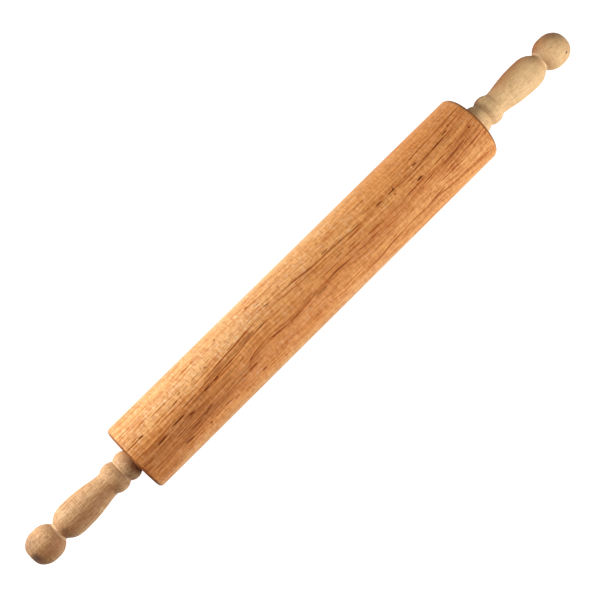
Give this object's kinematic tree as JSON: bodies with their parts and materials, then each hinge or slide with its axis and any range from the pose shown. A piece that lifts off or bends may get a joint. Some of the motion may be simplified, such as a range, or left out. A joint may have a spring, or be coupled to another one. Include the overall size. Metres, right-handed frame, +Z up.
{
  "type": "rolling pin with handles",
  "caption": "Hardwood rolling pin: a round-edged roller that spins freely on a steel rod between two turned handles with beads, a swelling grip and a ball end.",
  "frame": {"origin": "middle of the roller's length, on the axis that the roller spins about", "axes": "+X along the pin towards the end with the larger edge rounding, +Z up from the worktop, +Y across the pin"},
  "size_m": [0.5842, 0.06, 0.06],
  "materials": {
    "roller_wood": "reddish honey-brown hardwood, fine grain, sanded and oiled to a satin",
    "handle_wood": "pale tan hardwood, turned and left nearly raw",
    "steel": "drawn bright steel rod",
    "nylon": "off-white nylon",
    "brass": "machined brass"
  },
  "bodies": {
    "handles_and_axle": {"axle_rod": "steel", "insert_left": "brass", "insert_right": "brass", "handle_left": "handle_wood", "handle_right": "handle_wood"},
    "roller": {"roller": "roller_wood", "bush_left": "nylon", "bush_right": "nylon"},
    "washer_left": {"washer_left": "nylon"},
    "washer_right": {"washer_right": "nylon"}
  },
  "joints": [
    {"name": "roller_spin", "type": "hinge", "parent": "handles_and_axle", "child": "roller", "pos_m": [0, 0, 0], "axis": [1, 0, 0], "continuous": true},
    {"name": "left_washer_spin", "type": "hinge", "parent": "handles_and_axle", "child": "washer_left", "pos_m": [-0.1874, 0, 0], "axis": [1, 0, 0], "continuous": true},
    {"name": "right_washer_spin", "type": "hinge", "parent": "handles_and_axle", "child": "washer_right", "pos_m": [0.1874, 0, 0], "axis": [1, 0, 0], "continuous": true}
  ]
}
